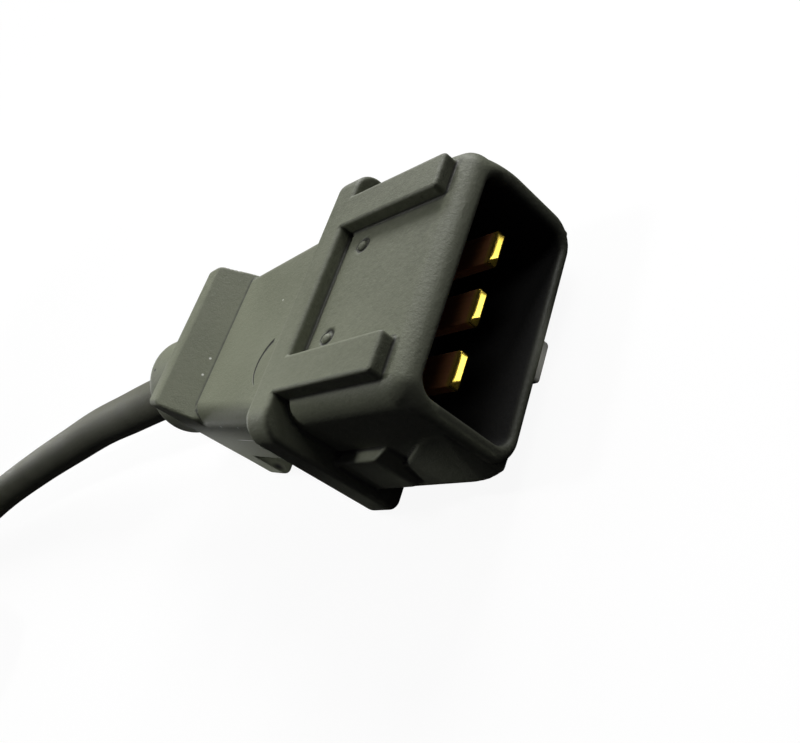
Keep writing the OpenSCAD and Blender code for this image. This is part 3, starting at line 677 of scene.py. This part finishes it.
# Cable boot
# A soft rubber sleeve moulded onto the cable, with two ribs, seated against the snout's end
# so that the cable doesn't kink there.
boot_profile = [
    (2.36, 14.0), (4.4, 14.0), (4.6, 14.2), (4.6, 15.2), (4.4, 15.4), (3.95, 15.6), (3.95, 16.1),
    (4.12, 16.3), (4.12, 16.8), (3.95, 17.0), (3.66, 17.15), (3.66, 17.6), (3.82, 17.8), (3.82, 18.3),
    (3.6, 18.5), (3.3, 18.7), (3.2, 19.7), (2.95, 20.0), (2.36, 20.0)]
boot_sides = 64
boot = new_piece("boot_sleeve", *turned(boot_profile, boot_sides, axis="X", centre=(0, 0, snout_z)))
rubber = Finish("boot_rubber", (0.036, 0.036, 0.034), 0.6, Specular_IOR_Level=0.35)
dust = rubber.noise(420, detail=5)
rubber.into("Base Color", rubber.blend(
    dust, (0.03, 0.03, 0.028), (0.06, 0.06, 0.056), start=0.35, end=0.75))
rubber.bump(dust, distance=0.00005)
rubber.onto(boot)
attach(boot, "root")
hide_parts("sensor_boot")

# Cable tie
# A black nylon strap pulled tight round both layers of the coil, through the ratchet in its own head,
# with its end cut short above the head.
tie_place = (-84.9, 15.5, 0)
strap_low, strap_high, strap_half_width = (-3.25, 0.05), (3.25, 11.05), 2.0
hollow_low, hollow_high = (-2.45, 0.85), (2.45, 10.25)
lock_low, lock_high, lock_heights = (-1.2, -2.5), (3.2, 2.5), (10.25, 13.45)
cut_end_across, cut_end_half_width, cut_end_heights = (0.4, 1.2), 1.5, (11.0, 18.45)
slot_across, slot_half_width, slot_floor = (0.3, 1.3), 1.7, 12.6
tie_low, tie_high, tie_step = (-3.3, -2.6, 0.0), (3.3, 2.6, 18.5), 0.13


def tie_field(x, y, z):
    """Strap round the coil's section, a box-shaped head with a slot on it, and the strap's cut end standing
    out of the slot."""
    strap = round_rect(x, z, strap_low, strap_high, 1.2)
    strap = meet(strap, span(y, -strap_half_width, strap_half_width), 0.15)
    hollow = round_rect(x, z, hollow_low, hollow_high, 0.8)
    lock = meet(round_rect(x, y, lock_low, lock_high, 0.5), span(z, *lock_heights), 0.3)
    cut_end = meet(span(x, *cut_end_across), span(y, -cut_end_half_width, cut_end_half_width), 0.12)
    cut_end = meet(cut_end, span(z, *cut_end_heights), 0.12)
    slot = meet(span(x, *slot_across), span(y, -slot_half_width, slot_half_width), 0.1)
    lock = meet(lock, -np.maximum(slot, slot_floor - z), 0.1)
    body = join(join(strap, lock, 0.15), cut_end, 0.05)
    return meet(body, -hollow, 0.12)


tie = moulded_piece("tie_strap", tie_field, tie_low, tie_high, tie_step, tie_place)
tie_nylon = Finish("tie_nylon", (0.028, 0.028, 0.028), 0.4, Specular_IOR_Level=0.5)
sheen = tie_nylon.noise(600, detail=4)
tie_nylon.into("Base Color", tie_nylon.blend(sheen, (0.022, 0.022, 0.022), (0.038, 0.038, 0.037)))
tie_nylon.gloss(sheen, 0.32, 0.48)
tie_nylon.bump(sheen, distance=0.00003)
tie_nylon.onto(tie)
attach(tie, "root")
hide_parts("coil_tie")

# Pick-up
# Inside the nose: a soft iron pole piece on a cast magnet, in a moulded bobbin wound with enamelled
# copper wire, and the black resin that is poured in from the back to seal them.
iron = Finish("soft_iron", (0.42, 0.42, 0.42), 0.38, Metallic=1.0)
turning = iron.wave(1800.0, 0.8, wave_type="RINGS", rings_direction="Z")
iron.into("Base Color", iron.mix(turning, (0.36, 0.36, 0.36), (0.48, 0.48, 0.47)))
iron.bump(turning, distance=0.00001)
dress(iron, "pole_piece")
cast = Finish("cast_magnet", (0.30, 0.30, 0.31), 0.5, Metallic=1.0)
pits = cast.noise(1200, detail=6)
cast.into("Base Color", cast.blend(pits, (0.24, 0.24, 0.25), (0.36, 0.36, 0.37)))
cast.bump(pits, distance=0.00006)
dress(cast, "magnet")
ivory = insulation("bobbin_nylon", (0.70, 0.66, 0.55), (0.80, 0.77, 0.67))
dress(ivory, "bobbin")
copper = Finish("enamelled_copper", (0.62, 0.26, 0.12), 0.28, Metallic=1.0)
wires = copper.wave(2500.0, 0.3, bands_direction="Z")
copper.into("Base Color", copper.mix(wires, (0.45, 0.17, 0.07), (0.70, 0.31, 0.15)))
copper.bump(wires, distance=0.00008)
dress(copper, "winding")
resin = Finish("casting_resin", (0.032, 0.032, 0.032), 0.25, Specular_IOR_Level=0.5)
ripple = resin.noise(180, detail=3)
resin.into("Base Color", resin.blend(ripple, (0.026, 0.026, 0.026), (0.042, 0.042, 0.041)))
resin.gloss(ripple, 0.18, 0.34)
resin.bump(ripple, distance=0.0001)
dress(resin, "potting")

# Stage
# A plain floor that runs out to a white background, both white to the camera alone, so that they don't
# light the dark plastic. Five round lamps make the tones of the broad faces, and four small spots
# stand in for the light that a white floor throws onto the lower ends.
floor_half, floor_z = 4.0, -2e-5
floor_bounce, floor_seen = 0.035, 0.08
glow_near, glow_far, glow_low, glow_high = 0.1, 0.4, 0.93, 1.0
room_tint, room_level = (0.8, 0.72, 1.0, 1), 0.024
floor = new_piece("floor", np.array([
    (-floor_half, -floor_half, floor_z), (floor_half, -floor_half, floor_z),
    (floor_half, floor_half, floor_z), (-floor_half, floor_half, floor_z)]), [(0, 1, 2, 3)])


def seen_directly(tree):
    """One for what the camera sees straight, and nought for every other ray."""
    return tree.nodes.new("ShaderNodeLightPath").outputs["Is Camera Ray"]


paper = bpy.data.materials.new("white_paper")
paper.use_nodes = True
tree = paper.node_tree
tree.nodes.clear()
tone = add_node(tree, "ShaderNodeMapRange", ("Value", seen_directly(tree)),
                ("To Min", floor_bounce), ("To Max", floor_seen))
matt = add_node(tree, "ShaderNodeBsdfDiffuse", ("Color", tone.outputs["Result"]))
middle = tree.nodes.new("ShaderNodeTexCoord").outputs["Object"]
away = add_node(tree, "ShaderNodeVectorMath", (0, middle), operation="LENGTH")
whiter = add_node(tree, "ShaderNodeMapRange", ("Value", away.outputs["Value"]), ("From Min", glow_near),
                  ("From Max", glow_far), ("To Min", glow_low), ("To Max", glow_high))
strength = add_node(tree, "ShaderNodeMath", (0, seen_directly(tree)), (1, whiter.outputs["Result"]),
                    operation="MULTIPLY")
glow = add_node(tree, "ShaderNodeEmission", ("Strength", strength.outputs[0]))
both = add_node(tree, "ShaderNodeAddShader", (0, matt.outputs[0]), (1, glow.outputs[0]))
add_node(tree, "ShaderNodeOutputMaterial", ("Surface", both.outputs[0]))
floor.data.materials.append(paper)

world = bpy.data.worlds.new("white_room")
bpy.context.scene.world = world
world.use_nodes = True
tree = world.node_tree
room = add_node(tree, "ShaderNodeMix", ("Factor", seen_directly(tree)), (6, room_tint), (7, (1, 1, 1, 1)),
                data_type="RGBA")
level = add_node(tree, "ShaderNodeMapRange", ("Value", seen_directly(tree)), ("To Min", room_level))
background = tree.nodes["Background"]
tree.links.new(room.outputs[2], background.inputs["Color"])
tree.links.new(level.outputs["Result"], background.inputs["Strength"])

connector_middle = Vector((0.08, 0.0295, 0.007))


def hang(data, place, aim):
    """Puts a lamp at a place and turns it toward a point."""
    made = bpy.data.objects.new(data.name, data)
    made.location = place
    made.rotation_euler = (Vector(aim) - Vector(place)).to_track_quat("-Z", "Y").to_euler()
    bpy.context.scene.collection.objects.link(made)


def lamp(name, offset, size, watts):
    """Round lamp that faces the connector's middle from an offset."""
    data = bpy.data.lights.new(name, "AREA")
    data.shape = "DISK"
    data.size = size
    data.energy = watts
    hang(data, connector_middle + Vector(offset), connector_middle)


def spot(name, place, aim, cone_deg, watts):
    """Narrow lamp with a soft edge."""
    data = bpy.data.lights.new(name, "SPOT")
    data.energy = watts
    data.spot_size = np.radians(cone_deg)
    data.spot_blend = 0.6
    data.shadow_soft_size = 0.002
    hang(data, place, aim)


lamp("far_side_lamp", (0.03, 0.385, 0.23), 0.2, 1.52)
lamp("far_rear_lamp", (-0.18, 0.36, 0.20), 0.2, 0.72)
lamp("rear_lamp", (-0.44, 0.022, 0.067), 0.2, 0.5)
lamp("upper_lamp", (-0.03, -0.0085, 0.1), 0.014, 0.037)
lamp("front_lamp", (0.161, 0.133, 0.229), 0.12, 0.1)
spot("rear_plate_light", (0.0285, 0.013, 0.004), (0.0675, 0.022, 0.0025), 20, 0.056)
spot("rear_plate_end_light", (0.13, -0.005, 0.004), (0.0695, 0.0217, 0.0014), 4, 0.04)
spot("latch_end_light", (0.0333, -0.016, 0.0137), (0.0928, 0.019, 0.0032), 5, 0.018)
spot("key_light", (0.15, 0.05, 0.002), (0.0974, 0.029, 0.0006), 5, 0.045)
bpy.context.scene.view_settings.view_transform = "Standard"
